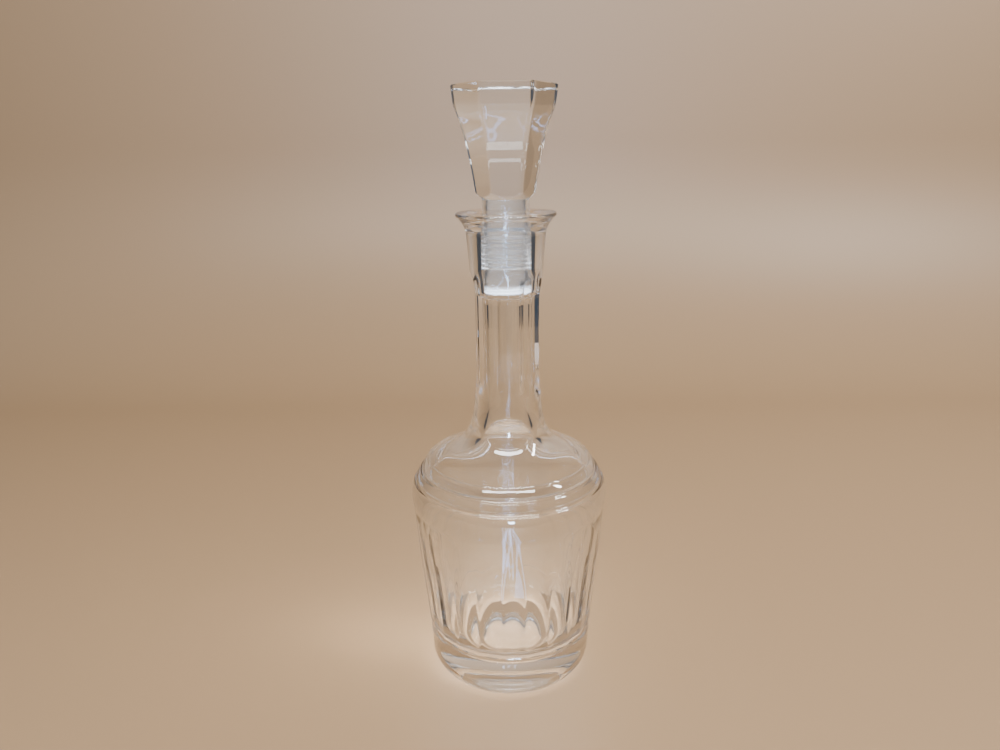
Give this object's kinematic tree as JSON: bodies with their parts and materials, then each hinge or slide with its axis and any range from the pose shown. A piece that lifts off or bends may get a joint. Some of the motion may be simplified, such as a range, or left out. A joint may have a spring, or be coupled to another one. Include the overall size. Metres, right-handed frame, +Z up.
{
  "type": "decanter",
  "caption": "Clear cut crystal decanter: body with vertical flutes and cut shoulder rings, panelled neck, flared lip, ribbed clear sleeve and a tall hexagonal solid stopper.",
  "frame": {"origin": "centre of the foot ring, on the table plane", "axes": "+Z up along the bottle's axis, +X to the right and +Y to the back as the front is seen"},
  "size_m": [0.1117, 0.1118, 0.33],
  "materials": {
    "crystal": "polished cut lead crystal",
    "clear_plastic": "soft clear plastic, slightly milky"
  },
  "bodies": {
    "decanter": {"decanter_body": "crystal"},
    "sleeve": {"stopper_sleeve": "clear_plastic"},
    "stopper": {"stopper": "crystal"}
  },
  "joints": [
    {"name": "stopper_lift", "type": "slide", "parent": "decanter", "child": "sleeve", "axis": [0, 0, 1], "range_m": [0, 0.07]},
    {"name": "stopper_turn", "type": "hinge", "parent": "sleeve", "child": "stopper", "pos_m": [0, 0, 0.25], "axis": [0, 0, 1], "continuous": true}
  ]
}
